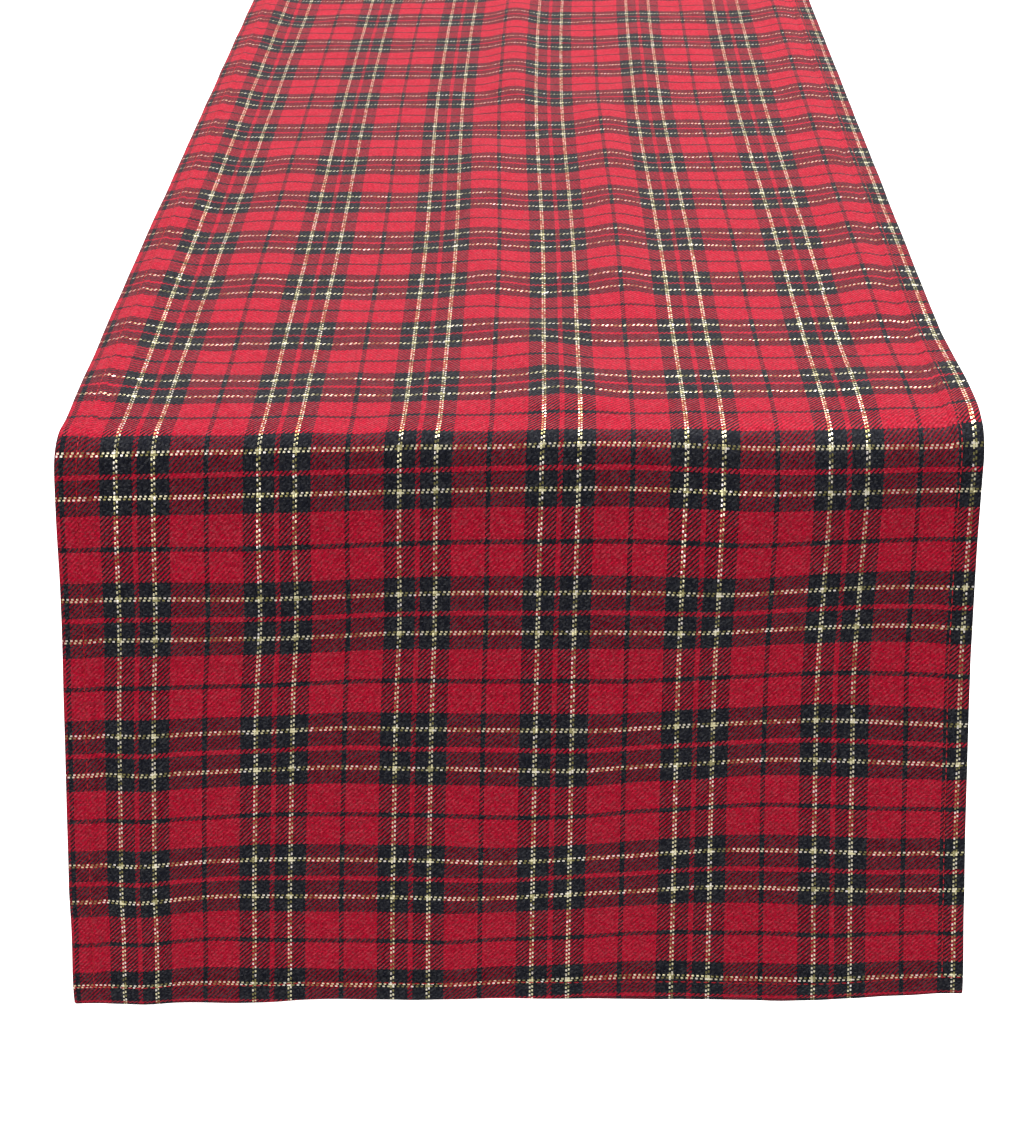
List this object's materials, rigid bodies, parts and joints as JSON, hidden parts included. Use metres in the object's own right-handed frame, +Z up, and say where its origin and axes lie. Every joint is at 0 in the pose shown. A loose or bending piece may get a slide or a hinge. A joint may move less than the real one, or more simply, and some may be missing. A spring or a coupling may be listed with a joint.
{
  "type": "table runner",
  "caption": "Long woven tartan table runner with turned, stitched hems, lying on a table and hanging over both ends of it.",
  "frame": {"origin": "underside of the cloth at the middle of the stretch that lies on the table", "axes": "+X across the runner to the right seen from its front end, +Y along it from the front end to the back end, +Z up out of the table"},
  "size_m": [0.3556, 1.4768, 0.2293],
  "materials": {
    "tartan_cloth": "matt brushed twill weave",
    "hem_cloth": "matt brushed twill weave, folded",
    "stitching_thread": "satin spun polyester thread",
    "gold_yarn": "glittering metal-film yarn"
  },
  "bodies": {
    "root": {"middle_cloth": "tartan_cloth", "middle_left_hem": "hem_cloth", "middle_right_hem": "hem_cloth", "middle_left_stitching": "stitching_thread", "middle_right_stitching": "stitching_thread", "middle_gold_warp_yarns": "gold_yarn", "middle_gold_weft_yarns": "gold_yarn"},
    "front_drop": {"front_drop_cloth": "tartan_cloth", "front_left_hem": "hem_cloth", "front_right_hem": "hem_cloth", "front_end_hem": "hem_cloth", "front_left_stitching": "stitching_thread", "front_right_stitching": "stitching_thread", "front_end_stitching": "stitching_thread", "front_gold_warp_yarns": "gold_yarn", "front_gold_weft_yarns": "gold_yarn"},
    "back_drop": {"back_drop_cloth": "tartan_cloth", "back_left_hem": "hem_cloth", "back_right_hem": "hem_cloth", "back_end_hem": "hem_cloth", "back_left_stitching": "stitching_thread", "back_right_stitching": "stitching_thread", "back_end_stitching": "stitching_thread", "back_gold_warp_yarns": "gold_yarn", "back_gold_weft_yarns": "gold_yarn"}
  },
  "joints": [
    {"name": "front_drop_swing", "type": "hinge", "parent": "root", "child": "front_drop", "pos_m": [0, -0.6827, -0.00157], "axis": [-1, 0, 0], "range_deg": [0, 77]},
    {"name": "back_drop_swing", "type": "hinge", "parent": "root", "child": "back_drop", "pos_m": [0, 0.6827, -0.00157], "axis": [1, 0, 0], "range_deg": [0, 77]}
  ]
}
